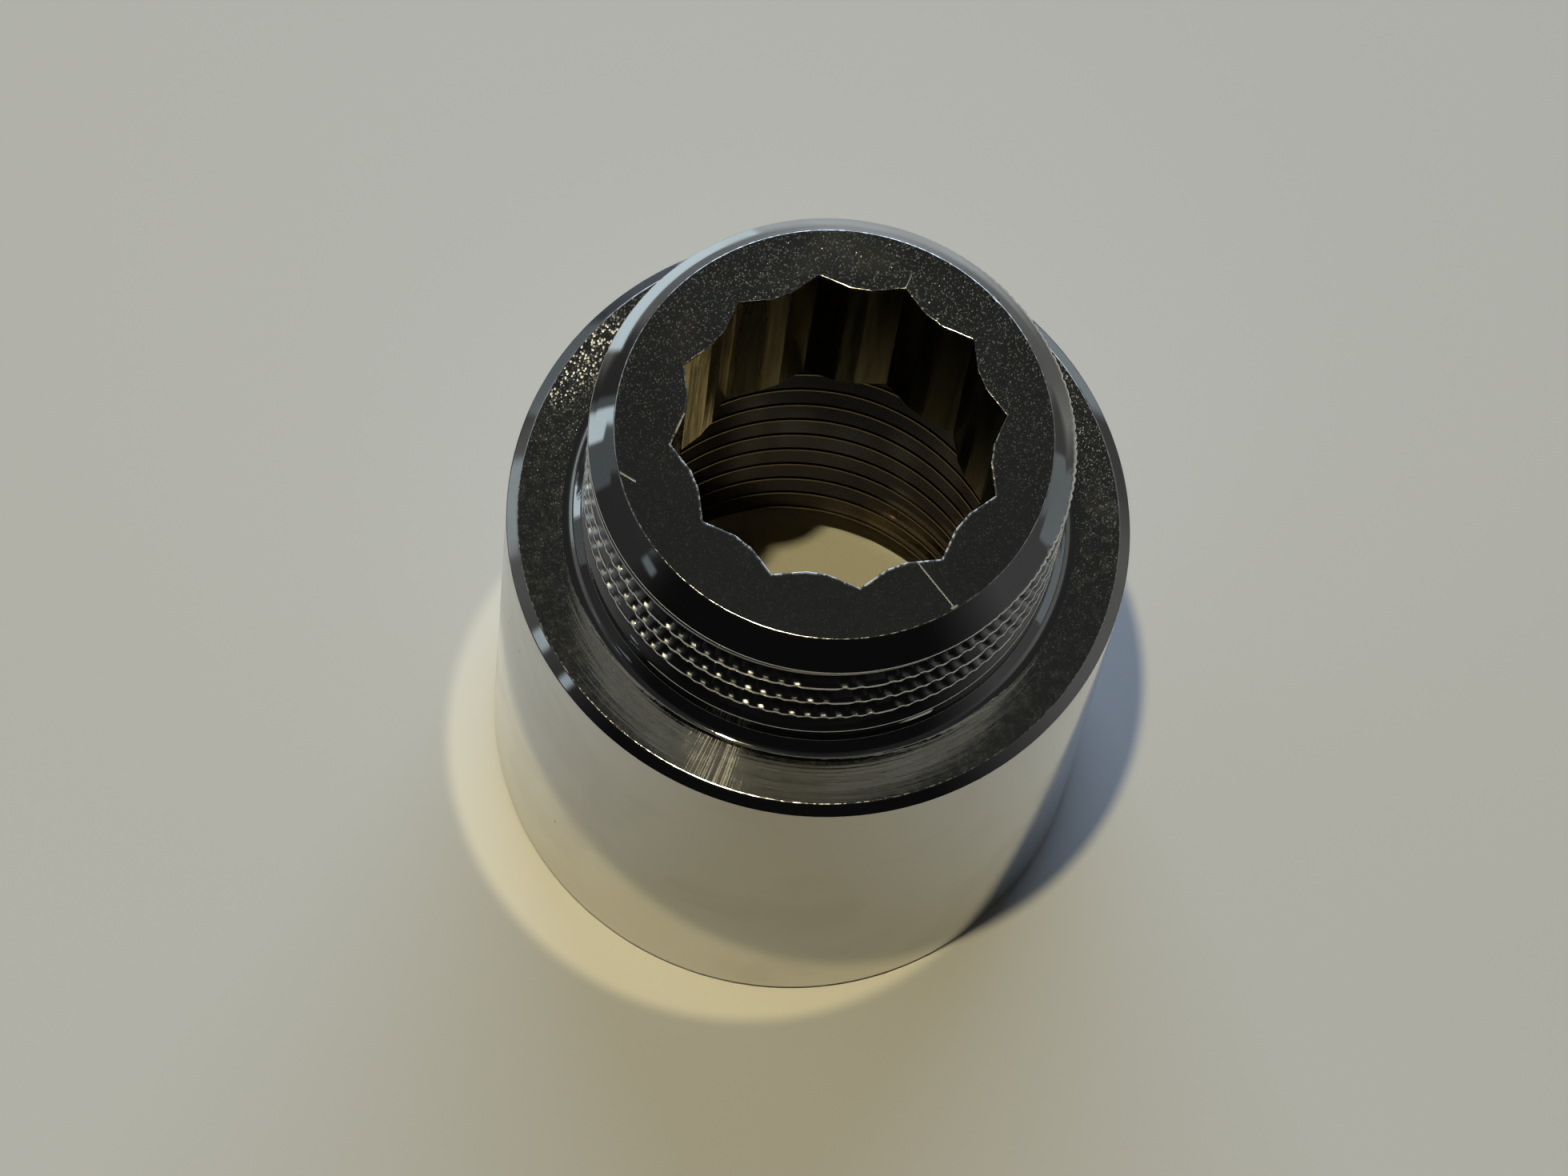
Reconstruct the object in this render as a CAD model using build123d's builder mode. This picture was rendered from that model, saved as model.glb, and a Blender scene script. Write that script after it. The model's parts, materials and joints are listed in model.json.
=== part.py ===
"""Tap extender, G 1/2 by 25 mm.

One piece of brass, turned, threaded and broached, then chrome-plated. A spigot for a male pipe
thread stands on a plain round body, and a socket for the same thread goes up into the body from
below. A twelve-point key hole, broached down the spigot, opens into the socket: a 12 mm hexagon
key drives the extender there, and the water passes through it.

The threads' turns are not cut: the spigot is as wide as its thread's crests, and the socket as
wide as the hole that is drilled for its tap.

Millimetres. The axis is Z, the origin is the centre of the body's lower rim, and the spigot
points up.
"""

import os
from math import radians, tan

from build123d import *

# Parallel pipe thread G 1/2: its depth is the Whitworth share of its pitch
thread_diameter = 20.955
thread_pitch = 25.4 / 14
thread_depth = 0.6403 * thread_pitch

# Body, with its wall measured outside the thread
body_wall = 3.27
body_length = 25.0
shoulder_bevel_width = 0.5
shoulder_bevel_height = 0.3
rim_bevel = 0.25

# Spigot: a cone at its foot and a bevelled nose
spigot_length = 10.1
foot_cone = 0.47
nose_bevel_width = 1.08
nose_bevel_height = 1.2

# Socket: a drilled hole with the drill's point at its end and a countersunk mouth
shoulder_web = 1.8
drill_point_angle = 118
mouth_margin = 0.47

# Key hole: twelve corners broached into a round pilot hole
spigot_wall = 2.1
broach_depth = 0.62
key_turn = 16.3

thread_radius = thread_diameter / 2
root_radius = thread_radius - thread_depth
body_radius = thread_radius + body_wall
total_length = body_length + spigot_length

mouth_radius = thread_radius + mouth_margin
mouth_depth = mouth_radius - root_radius
socket_depth = body_length - shoulder_web

key_corner_radius = root_radius - spigot_wall
pilot_radius = key_corner_radius - broach_depth
drill_point_rise = (root_radius - pilot_radius) / tan(radians(drill_point_angle / 2))

with BuildPart() as tap_extender:
    # Turned blank: body, shoulder and spigot outside, pilot hole and socket inside
    with BuildSketch(Plane.XZ):
        with BuildLine():
            Polyline(
                (mouth_radius, 0),
                (body_radius - rim_bevel, 0),
                (body_radius, rim_bevel),
                (body_radius, body_length - shoulder_bevel_height),
                (body_radius - shoulder_bevel_width, body_length),
                (thread_radius + foot_cone, body_length),
                (thread_radius, body_length + foot_cone),
                (thread_radius, total_length - nose_bevel_height),
                (thread_radius - nose_bevel_width, total_length),
                (pilot_radius, total_length),
                (pilot_radius, socket_depth + drill_point_rise),
                (root_radius, socket_depth),
                (root_radius, mouth_depth),
                close=True,
            )
        make_face()
    revolve(axis=Axis.Z)

    # Key hole: two hexagons a twelfth of a turn apart, down to the socket
    with BuildSketch(Plane.XY.offset(total_length)):
        RegularPolygon(key_corner_radius, 6, rotation=key_turn)
        RegularPolygon(key_corner_radius, 6, rotation=key_turn + 30)
    extrude(amount=socket_depth - total_length, mode=Mode.SUBTRACT)

tap_extender.part.label = "tap_extender"
os.makedirs("parts", exist_ok=True)
export_step(tap_extender.part, "parts/tap_extender.step")
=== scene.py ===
"""Tap extender, finished: chrome-plated brass with cut threads and a broached key hole.

The shape is one closed surface. Its outline starts at the key hole's lip, goes over the nose and
down the outside to the lower rim, and comes back up through the tapped socket to the lip. Each
point of the outline is a ring of columns round the Z axis, and the rings of the two threads climb
by one pitch a turn. Metres: the part stands on its lower rim at Z = 0, with the spigot up.
"""

import json
from math import cos, pi, radians, sin, tan

import bmesh
import bpy
import numpy as np
from bpy.props import FloatProperty, FloatVectorProperty, IntProperty, PointerProperty
from bpy.types import NodeSocket, Operator, Panel, PropertyGroup
from mathutils import Matrix, Vector


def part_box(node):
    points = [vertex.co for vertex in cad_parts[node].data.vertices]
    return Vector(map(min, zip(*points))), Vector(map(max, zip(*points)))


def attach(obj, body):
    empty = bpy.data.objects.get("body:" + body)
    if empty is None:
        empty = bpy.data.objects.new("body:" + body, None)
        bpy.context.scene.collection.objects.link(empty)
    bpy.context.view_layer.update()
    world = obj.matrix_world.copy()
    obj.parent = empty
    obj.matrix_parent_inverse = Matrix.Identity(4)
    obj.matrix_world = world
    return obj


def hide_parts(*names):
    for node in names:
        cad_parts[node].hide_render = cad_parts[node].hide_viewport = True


bl_info = {
    "name": "Tap extender",
    "version": (1, 0, 0),
    "blender": (4, 5, 0),
    "location": "3D View > Sidebar > Tap extender",
    "description": "Builds a chrome-plated tap extender and a plain stage round it",
    "category": "Object",
}

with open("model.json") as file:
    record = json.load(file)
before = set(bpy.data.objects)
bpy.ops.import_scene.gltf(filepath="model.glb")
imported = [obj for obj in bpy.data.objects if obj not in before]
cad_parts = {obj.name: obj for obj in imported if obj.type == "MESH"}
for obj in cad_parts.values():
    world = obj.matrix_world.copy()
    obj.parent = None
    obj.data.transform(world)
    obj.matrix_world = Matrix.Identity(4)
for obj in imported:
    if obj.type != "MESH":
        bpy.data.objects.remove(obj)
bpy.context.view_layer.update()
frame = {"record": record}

MM = 0.001
NODE = "tap_extender"
BODY = "root"

# What the frame says of the part
mounts = {mount["name"]: mount for mount in frame["record"]["mounts"]}
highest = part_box(NODE)[1]
spigot_middle = mounts["male_thread"]["pos_m"][2]
spigot_half = mounts["male_thread"]["dims"]["length_mm"] * MM / 2

# Finishes, in the order of the piece's material slots
POLISHED, FACED, THREADED, BRASS = range(4)

# How far beyond a rounded corner its supporting rings lie, in reaches of the corner
SUPPORT = 1.6

# Columns from one notch of the spigot's crests to the next, and columns that a notch takes up
NOTCH_SPACING = 5
NOTCH_WIDTH = 2

# Scratches on the nose: start and end on X and Y, and width, in millimetres
NOSE_SCRATCHES = (
    ((4.33, -5.10), (6.22, -6.86), 0.045),
    ((6.18, -6.95), (6.36, -6.80), 0.09),
    ((-8.66, -3.54), (-7.95, -3.82), 0.06),
    ((1.89, 7.16), (2.04, 7.76), 0.04),
    ((5.75, 7.46), (6.0, 7.21), 0.07),
)

# Patches on the shoulder, given in the same way: brass showing through, and plate that is rubbed
THROUGH_PATCH = ((-12.4, 4.2), (-10.6, 6.8), 1.7)
RUBBED_PATCH = ((-2.7, -11.2), (-2.6, -13.1), 2.0)

# Ends of a painted glint on the socket's thread: a spot of orange brass colour that stands in for the
# lamp's glint there
PAINTED_GLINT_START = (3.13 * MM, 9.18 * MM, 5.36 * MM)
PAINTED_GLINT_END = (3.54 * MM, 9.03 * MM, 4.29 * MM)

# Pits in the body's plate: azimuth in degrees, height and width in millimetres
BODY_PITS = (
    (-151.0, 19.8, 0.14),
    (-158.0, 19.0, 0.10),
    (-163.5, 19.0, 0.08),
    (-133.5, 7.4, 0.10),
    (-23.0, 19.8, 0.09),
    (-29.0, 19.6, 0.08),
)

# Glowing panes on the screen, painted reflections of windows that only mirrored rays see: azimuths in
# degrees, heights in millimetres, how many millimetres they climb in a degree, and brightness
SCREEN_PANES = (
    ((107, 149), (-9, 3.8), 0.46, 1.0),
    ((105.5, 117.5), (26, 33.2), 0.0, 0.65),
    ((163, 174), (25, 32.8), 0.0, 0.9),
    ((158, 180), (48.5, 58.5), 0.0, 0.4),
    ((124, 152), (37, 53), 0.0, 0.16),
    ((194, 201), (65, 69), 0.0, 0.6),
    ((206, 211), (70, 75), 0.0, 0.55),
    ((45, 66), (31.5, 38), 0.0, 0.30),
    ((55, 125), (44, 78), 0.0, 1.0),
    ((0, 26), (22, 35), 0.0, 0.15),
    ((160, 187), (24, 38), 0.0, 0.09),
    ((210, 218), (42, 46), 0.0, 0.2),
    ((140, 175), (62, 84), 0.0, 0.35),
)
PANE_TINT = (0.80, 0.96, 1.04, 1)

# Room round the stage: its front, its ceiling, and its sides and back
ROOM_FRONT = (0.003, 0.003, 0.003, 1)
ROOM_CEILING = (0.026, 0.028, 0.027, 1)
ROOM_SIDES = (0.16, 0.167, 0.173, 1)


def length(name, description, default):
    """A size in metres."""
    return FloatProperty(
        name=name, description=description, default=default, unit="LENGTH", precision=6
    )


def angle(name, description, degrees):
    """An angle, given in degrees and kept in radians."""
    return FloatProperty(
        name=name, description=description, default=radians(degrees), unit="ROTATION"
    )


def watts(name, description, default):
    """A lamp's power in watts."""
    return FloatProperty(name=name, description=description, default=default, unit="POWER")


def colour(name, description, default):
    """A linear colour."""
    return FloatVectorProperty(
        name=name, description=description, default=default, size=3, subtype="COLOR", min=0.0, max=1.0
    )


class ExtenderSizes(PropertyGroup):
    """Sizes of the extender. The main ones come from the frame."""

    columns: IntProperty(
        name="Columns", description="Columns round the axis, some to each notch", default=480
    )
    seed: IntProperty(name="Seed", description="Start of the uneven draws", default=7)
    body_radius: length("Body radius", "Radius of the plain round body", highest.x)
    body_length: length("Body length", "Height of the shoulder", mounts["shoulder"]["pos_m"][2])
    total_length: length("Total length", "Height of the nose face", highest.z)
    crest_radius: length(
        "Crest radius", "Outside radius of the thread", mounts["male_thread"]["dims"]["r_mm"] * MM
    )
    drill_radius: length(
        "Drill radius", "Radius of the drilled socket", mounts["female_thread"]["dims"]["r_mm"] * MM
    )
    foot_height: length("Foot height", "Where the foot's cone ends", spigot_middle - spigot_half)
    nose_height: length("Nose height", "Where the nose's bevel starts", spigot_middle + spigot_half)
    nose_bevel: length("Nose bevel", "Width of the nose's bevel", 1.08 * MM)
    shoulder_bevel_width: length("Shoulder bevel width", "Width of the shoulder's bevel", 0.5 * MM)
    shoulder_bevel_height: length("Shoulder bevel height", "Height of the shoulder's bevel", 0.3 * MM)
    rim_bevel: length("Rim bevel", "Bevel round the lower rim", 0.25 * MM)
    edge_ease: length("Edge ease", "How far from a corner its rounding starts", 0.04 * MM)
    foot_ease: length("Foot ease", "Rounding where the spigot's foot meets the shoulder", 0.22 * MM)

    pitch: length("Pitch", "Rise of the thread in one turn", 25.4 / 14 * MM)
    spigot_crest: length("Spigot crest", "Height of a spigot crest over the X axis", 26.767 * MM)
    spigot_start: length("Spigot thread start", "Where the spigot's groove starts", 26.2 * MM)
    spigot_end: length("Spigot thread end", "Where the spigot's groove ends", 33.83 * MM)
    spigot_run_out: length("Spigot run-out", "Height in which the spigot's groove fades", 0.7 * MM)
    notch_depth: length("Notch depth", "Deepest of the notches across the crests", 0.06 * MM)
    notch_tread: length("Notch tread", "Most that a notch presses the flank above it down", 0.09 * MM)
    notch_start: length("Notch start", "Height at which the notches start", 27.3 * MM)
    notch_end: length("Notch end", "Height at which the notches end", 33.2 * MM)
    rim_notches: angle("Rim notches", "Middle of the short run of notches in the nose's bevel", 142)
    rim_rounding: angle("Rim rounding", "Middle of the rounded foot of the nose's bevel", 15)
    rim_scuff: angle("Rim scuff", "Middle of the scuffed foot of the nose's bevel", -135)
    rim_ease: length("Rim ease", "How far up the nose's bevel its rounded foot starts", 0.28 * MM)
    bevel_crown: length("Bevel crown", "How far the nose's bevel bulges", 0.015 * MM)
    nose_nick: angle("Nose nick", "Where the nose's edge is nicked", 52.1)
    nick_depth: length("Nick depth", "Depth of that nick", 0.16 * MM)
    edge_knocks: length("Edge knocks", "Deepest of the small knocks along the turned edges", 0.012 * MM)

    socket_groove: length("Socket groove", "Height of a socket groove over the X axis", 1.2 * MM)
    socket_end: length("Socket thread end", "Where the socket's groove ends", 21.5 * MM)
    socket_run_out: length("Socket run-out", "Height in which the socket's groove fades", 2.0 * MM)
    mouth_margin: length("Mouth margin", "How far the mouth is wider than the thread", 0.47 * MM)
    shoulder_web: length("Shoulder web", "Metal between the socket's end and the shoulder", 1.8 * MM)
    drill_point: angle("Drill point", "Angle of the drill's point", 118)

    key_corner: length("Key corner", "Radius of the key hole's twelve corners", 7.216 * MM)
    pilot_radius: length("Pilot radius", "Radius of the hole before broaching", 6.596 * MM)
    key_turn: angle("Key turn", "Angle of the first corner", 16.3)
    key_shift: FloatVectorProperty(
        name="Key shift", description="How far the key hole is off the axis", size=2,
        default=(0.17 * MM, 0.15 * MM), unit="LENGTH", precision=6
    )
    burr: length("Burr", "Size of the ragged edge that the broach left", 0.06 * MM)


class ExtenderFinishes(PropertyGroup):
    """Colours of the extender's finishes."""

    chrome: colour("Chrome", "Polished chrome plate", (0.52, 0.52, 0.51))
    haze: colour("Haze", "Chrome under dried water and fingerprints", (0.47, 0.46, 0.44))
    # Dark colour for dirt in pits, thread roots and the broach's streaks, also used for painted shade
    # under the nose's bevel and for darkening the socket's crests
    dirt_and_shade: colour("Soil", "Dirt in pits and thread roots", (0.03, 0.025, 0.02))
    bright: colour("Bright edge", "Chrome that is scuffed on an edge", (0.86, 0.86, 0.85))
    brass: colour("Brass", "Bare brass in the key hole", (0.68, 0.62, 0.52))
    # A shaded copy of the brass: painted shade on the key hole's back and right walls
    shaded_brass: colour("Dull brass", "Brass that has gone dull in the key hole", (0.09, 0.09, 0.085))
    edge: colour("Brass edge", "How bare brass mirrors at a glancing angle", (0.80, 0.76, 0.68))
    # Orange colour of the painted glint in the socket, which stands in for the lamp's glint there
    glint_colour: colour("Fresh brass", "Brass in a fresh scuff", (0.95, 0.56, 0.36))
    bronze: colour("Bronze", "Brass that has darkened in the socket", (0.40, 0.34, 0.25))


class ExtenderStage(PropertyGroup):
    """Floor, lights and camera."""

    floor_radius: length("Floor radius", "Radius of the floor", 0.6)
    floor: colour("Floor", "Pale floor", (0.47, 0.465, 0.45))
    # Painted light on the floor: the lamp's light that the polished body throws there
    glow: colour("Glow", "Floor where the polished body throws the lamp's light", (0.80, 0.76, 0.66))
    # Painted shade on the floor inside the socket, tinted yellow as by light off the brass
    shade: colour("Shade", "Floor under the socket, which the brass tints", (0.44, 0.41, 0.30))
    glow_shift: length("Glow shift", "How far the thrown light leans to the lamp", 2.5 * MM)
    lamp_colour: colour("Lamp colour", "Warm lamp", (1.0, 0.89, 0.565))
    lamp_power: watts("Lamp power", "Warm lamp", 3.55)
    lamp_distance: length("Lamp distance", "From the floor to the warm lamp", 0.8)
    lamp_size: length("Lamp size", "Width of the warm lamp", 0.022)
    lamp_azimuth: angle("Lamp azimuth", "Direction of the warm lamp, from X", -135)
    lamp_elevation: angle("Lamp elevation", "Height of the warm lamp", 82)
    window_colour: colour("Window colour", "Cool window light", (0.57, 0.73, 1.0))
    back_power: watts("Back window power", "Window at the back", 88.0)
    left_power: watts("Left window power", "Window on the left", 1.4)
    screen_radius: length("Screen radius", "From the axis to the mirrored screen", 70 * MM)
    screen_height: length("Screen height", "Height of the screen", 100 * MM)
    screen_foot: length("Screen foot", "Height below which the screen fades out", 18 * MM)
    camera_place: FloatVectorProperty(
        name="Camera place", description="Where the camera stands", size=3,
        default=(0.0, -110.46 * MM, 302.398 * MM), unit="LENGTH", precision=6
    )
    camera_tilt: angle("Camera tilt", "How far the camera looks down", 68.915)
    camera_pan: angle("Camera pan", "How far the camera looks to the right", -0.19)
    camera_roll: angle("Camera roll", "How far the camera is turned about its line of sight", 10.187)
    camera_lens: FloatProperty(
        name="Camera lens", description="Focal length", default=156.12, unit="CAMERA"
    )


# Shape

def ring(turns, radius, height, shift=(0.0, 0.0)):
    """One ring of points: radius and height at each angle, about an axis moved by shift."""
    return np.stack(
        np.broadcast_arrays(
            shift[0] + radius * np.cos(turns), shift[1] + radius * np.sin(turns), height
        ),
        axis=-1,
    )


def rings(turns, outline):
    """Turned rings, one for each radius and height of an outline."""
    outline = np.asarray(outline)
    return ring(turns, outline[:, :1], outline[:, 1:])


def by_ring(*shares):
    """One share for each ring of a strip."""
    return np.array(shares, dtype=float)[:, None]


def eased(before, corner, after, reach, steps=3, reach_after=None):
    """A corner as a parabola that leaves each leg one reach from the corner, with one more point
    further along each leg, so that the shading of the legs stays flat."""
    before, corner, after = (np.array(point) for point in (before, corner, after))
    to_first = (before - corner) * (reach / np.linalg.norm(before - corner))
    to_last = (after - corner) * ((reach_after or reach) / np.linalg.norm(after - corner))
    part = np.linspace(0, 1, steps + 1)[:, None]
    curve = corner + to_first * (1 - part) ** 2 + to_last * part**2
    return np.concatenate([[corner + to_first * SUPPORT], curve, [corner + to_last * SUPPORT]])


def between(first, last, count):
    """Rings spread evenly between two rings, without the first and the last."""
    part = np.linspace(0, 1, count + 2)[1:-1, None, None]
    return first * (1 - part) + last * part


def crowned(first, last, count, rise):
    """Rings between two rings, lifted square to the line between them as a parabola."""
    part = np.linspace(0, 1, count + 2)[1:-1, None]
    rows = between(first, last, count)
    radius = np.hypot(rows[..., 0], rows[..., 1])
    wide = np.hypot(last[:, 0], last[:, 1]) - np.hypot(first[:, 0], first[:, 1])
    high = first[:, 2] - last[:, 2]
    lift = 4 * rise * part * (1 - part) / np.hypot(wide, high)
    out = 1 + lift * high / radius
    return np.stack([rows[..., 0] * out, rows[..., 1] * out, rows[..., 2] + lift * wide], axis=-1)


def wander(columns, width, seed):
    """Uneven numbers from -1 to 1 round a ring: random draws averaged over their neighbours."""
    draws = np.random.default_rng(seed).uniform(-1, 1, columns)
    weights = np.hanning(width + 2)[1:-1]
    smooth = np.convolve(np.concatenate([draws[-width:], draws, draws[:width]]), weights, "same")
    smooth = smooth[width:-width] / np.abs(smooth).max()
    return np.append(smooth, smooth[0])


def thread_fall(steps):
    """How far a thread falls from crest, 0, to root, 1, at so many pitches from the crest.

    A straight flank from a twelfth to five twelfths of the pitch, eased at both ends by the
    root of its square and a small square, as the rounded pipe thread has it.
    """
    ease = 0.003
    flank = 3 * np.abs((np.asarray(steps) + 0.5) % 1 - 0.5) - 0.25
    low = (flank + np.sqrt(flank**2 + 4 * ease)) / 2
    return 1 - ((1 - low) + np.sqrt((1 - low) ** 2 + 4 * ease)) / 2


def helix_heights(turns, pitch, start, steps, low, high):
    """Heights of rings that climb one pitch a turn, kept from low to high, with their steps.

    The rings go through each step of a pitch, over as many pitches as the span needs. The first
    and the last ring are level.
    """
    first = np.floor((low - start) / pitch) - 3
    last = np.ceil((high - start) / pitch) + 2
    laps = np.arange(first, last)[:, None] + np.asarray(steps)
    laps = laps.reshape(-1, 1)
    heights = start + pitch * (laps + turns / (2 * pi))
    used = np.flatnonzero((heights.max(1) > low) & (heights.min(1) < high))
    kept = slice(used[0] - 1, used[-1] + 2)
    return np.clip(heights[kept], low, high), laps[kept]


def rim_cuts(sizes, turns):
    """Depths of the notches in the foot of the nose's bevel: one column in three, of uneven depth.
    They are cut in two runs: a short one, and a long deeper one where the thread's end rounds it."""
    random = np.random.default_rng(sizes.seed + 4)
    depths = np.repeat(random.uniform(0.3, 1, sizes.columns // 3), 3)
    depths = np.append(depths, depths[0]) * (np.arange(sizes.columns + 1) % 3 == 0)
    short_run = np.clip(6 * np.cos(turns - sizes.rim_notches) - 4.6, 0, 1)
    return sizes.notch_depth * depths * np.maximum(0.9 * short_run, 1.5 * rounded_run(sizes, turns))


def rounded_run(sizes, turns):
    """How much the thread's end rounds the foot of the nose's bevel: 1 about its middle, and fading
    to nothing a fifth of a turn away."""
    return np.clip(2.2 * np.cos(turns - sizes.rim_rounding) - 0.9, 0, 1)


def pressed_in(points, depths):
    """Points moved towards the axis by the given depths."""
    radius = np.hypot(points[..., 0], points[..., 1])
    kept = 1 - depths / radius
    return points * np.stack([kept, kept, np.ones_like(kept)], axis=-1)


def knocked(sizes, points, seed):
    """A rounded corner's rings with small knocks: the two middle ones pressed in unevenly, the upper
    one more than the lower."""
    knocks = np.random.default_rng(seed).uniform(0, sizes.edge_knocks, sizes.columns)
    knocks = np.append(knocks, knocks[0])
    return pressed_in(points, knocks * by_ring(0, 0, 1, 0.2, 0, 0))


def spigot_rings(sizes, turns):
    """The spigot's thread, from the nose down, and its wear.

    The radius falls from the crest by the thread's fall. Two cones keep it from falling where the
    groove starts and ends. Each crest has notches of uneven depth, and the flank above each notch
    is pressed down to a small tread that leans to one side or the other. Notches, treads and worn
    spots fade with the distance from their own step above the crest.
    """
    depth = sizes.crest_radius - sizes.drill_radius
    line_step, spot_step, tread_step = 0.085, 0.115, 0.145
    steps = (0, 0.05, line_step, spot_step, tread_step, 0.19, 0.40, 0.5, 0.60, 0.91)
    high = sizes.nose_height - sizes.edge_ease * SUPPORT
    heights, laps = helix_heights(
        turns, sizes.pitch, sizes.spigot_crest, steps, sizes.spigot_start, high
    )
    fall = thread_fall(laps) - thread_fall(0)
    radius = sizes.crest_radius - depth * fall
    rise = np.minimum(heights - sizes.spigot_start, sizes.spigot_end - heights)
    cut = np.clip(rise / sizes.spigot_run_out, 0, 1)
    radius = np.maximum(radius, sizes.crest_radius - depth * cut)

    column = np.arange(sizes.columns + 1)
    in_notch = column % NOTCH_SPACING
    lap = np.rint(laps).astype(int)
    number = (lap - lap.min()) * (sizes.columns // NOTCH_SPACING) + column // NOTCH_SPACING
    random = np.random.default_rng(sizes.seed)
    depths = random.uniform(0.45, 1, number.max() + 1)
    depths *= random.random(number.max() + 1) > 0.1
    leans = random.uniform(-0.25, 0.25, number.max() + 1)
    above = laps - lap
    inside = (heights > sizes.notch_start) & (heights < sizes.notch_end)
    notched = depths[number] * inside * (in_notch < NOTCH_WIDTH)
    leaning = 1 + leans[number] * np.where(in_notch == 0, 1, -1)
    cuts = sizes.notch_depth * notched * np.clip(1 - np.abs(above) / 0.11, 0, 1)
    cuts = np.where(heights > high - sizes.spigot_run_out / 3, rim_cuts(sizes, turns), cuts)
    treads = np.clip(1 - np.abs(above - tread_step) / 0.055, 0, 1)
    drops = sizes.notch_tread * notched * leaning * treads
    spots = notched * np.clip(1.4 - np.abs(above - spot_step) / 0.033, 0, 1)
    line = 0.2 * inside * np.isclose(above, line_step)
    points = pressed_in(ring(turns, radius, heights - drops), cuts)
    return points[::-1], np.maximum(spots, line)[::-1]


def socket_rings(sizes, turns):
    """The socket's thread, from the mouth up: grooves that open inwards, cut off by the mouth's cone
    below and fading by a cone above, with flat crests of the drilled radius between them."""
    depth = sizes.crest_radius - sizes.drill_radius
    steps = (0, 0.12, 0.40, 0.46, 0.54, 0.60, 0.88)
    low = sizes.mouth_margin
    heights, laps = helix_heights(turns, sizes.pitch, sizes.socket_groove, steps, low, sizes.socket_end)
    left = np.clip((sizes.socket_end - heights) / sizes.socket_run_out, 0, 1)
    radius = sizes.drill_radius + depth * np.minimum(1 - thread_fall(laps), left)
    mouth = sizes.crest_radius + sizes.mouth_margin - heights
    return ring(turns, np.maximum(radius, mouth), heights)


def key_radius(sizes, turns):
    """The key hole's outline: two hexagons a twelfth of a turn apart, and the round pilot hole
    where it is wider. An edge of a hexagon lies at its apothem over the cosine of the angle."""
    twelfth = pi / 6
    from_corner = np.abs((turns - sizes.key_turn + twelfth / 2) % twelfth - twelfth / 2)
    apothem = sizes.key_corner * cos(twelfth)
    return np.maximum(sizes.pilot_radius, apothem / np.cos(twelfth - from_corner))


def key_rings(sizes, turns):
    """The key hole's walls, from the drill's point up to the lip."""
    radius = key_radius(sizes, turns)
    foot = ring(turns, radius, 0, sizes.key_shift)
    out = np.hypot(foot[:, 0], foot[:, 1])
    socket_depth = sizes.body_length - sizes.shoulder_web
    foot[:, 2] = socket_depth + (sizes.drill_radius - out) / tan(sizes.drill_point / 2)
    top = ring(turns, radius, sizes.total_length - 3 * sizes.burr, sizes.key_shift)
    return np.concatenate([foot[None], between(foot, top, 1), top[None]])


def lip_rings(sizes, turns):
    """The key hole's lip: a narrow rounded edge, sharper at the back, of the uneven width that the
    broach left."""
    radius = key_radius(sizes, turns)
    burr = sizes.burr * np.clip(0.75 - 0.6 * np.sin(turns), 0.35, 1)
    lean = wander(sizes.columns, 5, sizes.seed + 1)
    width = 1 + 0.6 * wander(sizes.columns, 4, sizes.seed + 2)
    top = sizes.total_length
    return np.stack([
        ring(turns, radius - burr * 0.25 * lean, top - burr, sizes.key_shift),
        ring(turns, radius + burr * 0.3, top - burr * 0.25, sizes.key_shift),
        ring(turns, radius + burr * (0.5 + 0.7 * width), top, sizes.key_shift),
        ring(turns, radius + burr * 2.6, top, sizes.key_shift),
    ])


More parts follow.
